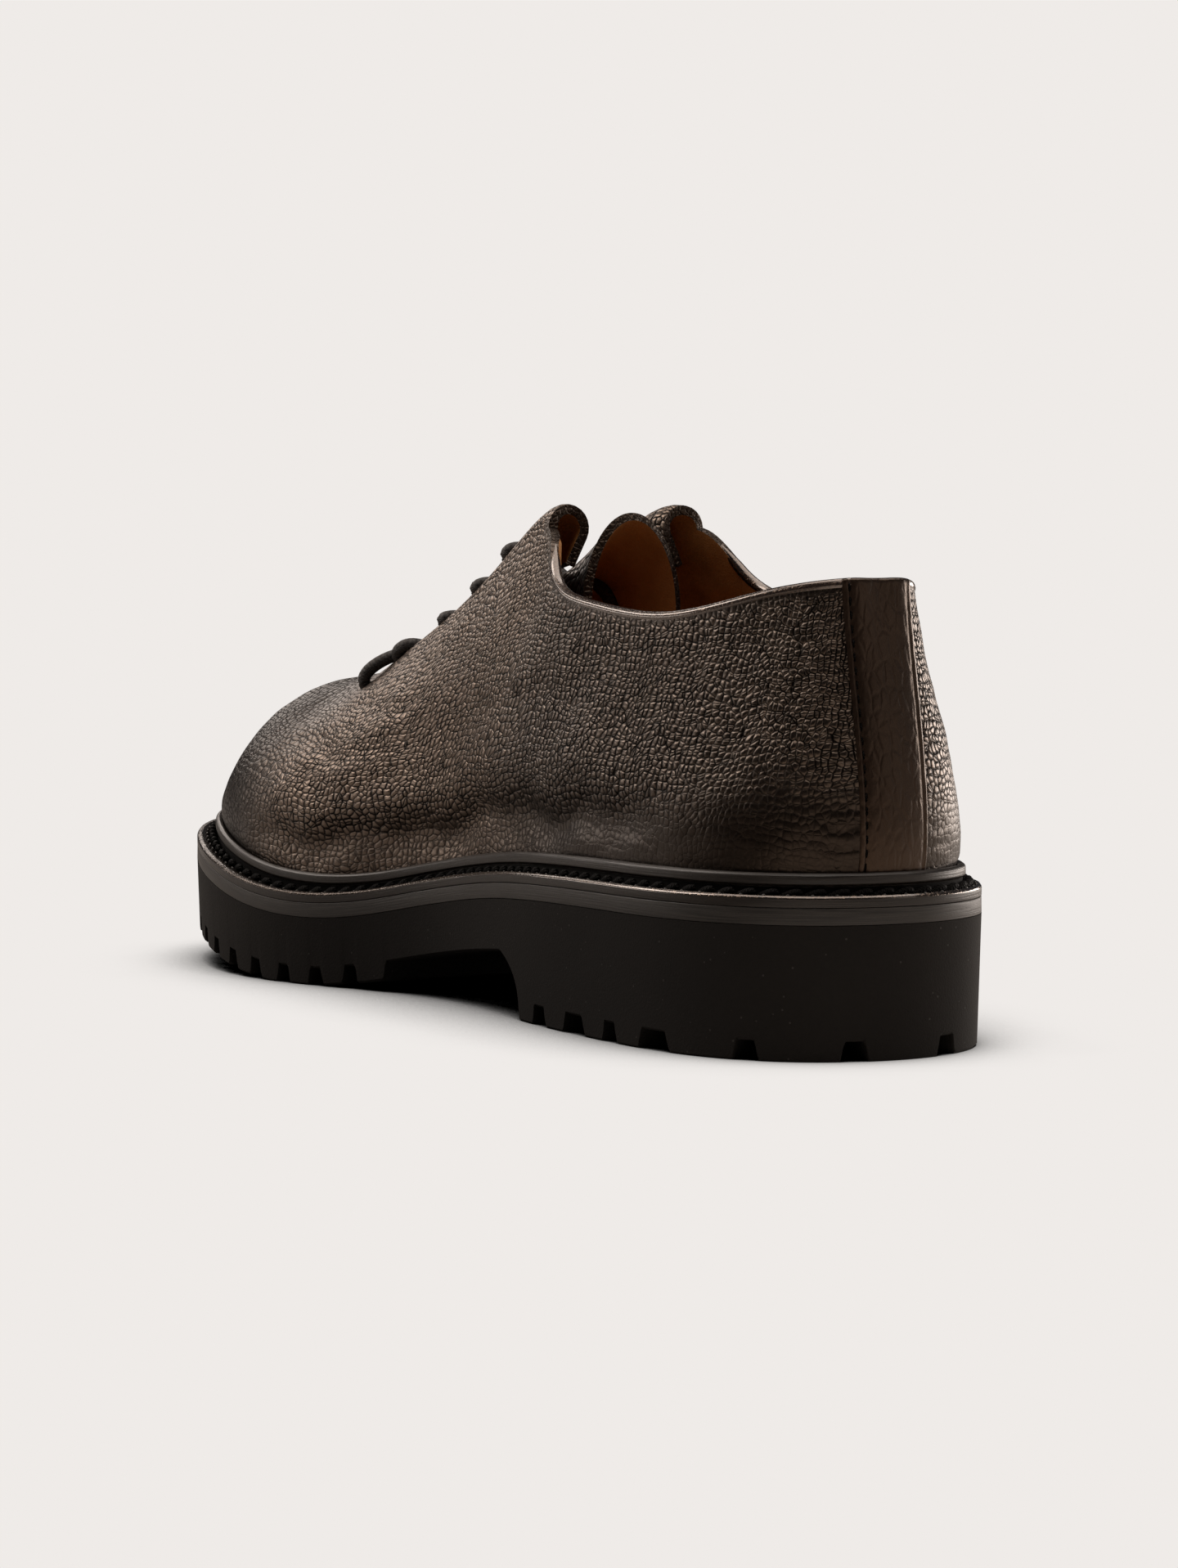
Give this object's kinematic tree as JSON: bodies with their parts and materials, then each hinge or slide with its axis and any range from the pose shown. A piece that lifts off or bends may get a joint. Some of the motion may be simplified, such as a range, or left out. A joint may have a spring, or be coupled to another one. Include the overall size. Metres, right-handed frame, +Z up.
{
  "type": "lug sole derby shoe",
  "caption": "Right derby shoe in pebbled leather with a rolled open throat, laces, storm welt and a thick foam lug sole with a block heel.",
  "frame": {"origin": "on the floor under the middle of the sole's length and width", "axes": "+Y towards the toe, +X towards the outer side of the right foot, +Z up"},
  "size_m": [0.1087, 0.3, 0.1166],
  "materials": {
    "foam": "matte black closed cell foam",
    "midsole": "dark grey edge with fine layers",
    "welt": "dark brown, satin",
    "leather": "dark brown pebbled grain, satin",
    "lining": "tan lining leather",
    "lace": "round waxed cord"
  },
  "bodies": {
    "root": {"outsole": "foam", "midsole": "midsole", "welt": "welt", "upper": "leather", "backstay": "leather", "tongue": "leather", "insole": "lining", "lace": "lace"}
  },
  "joints": []
}
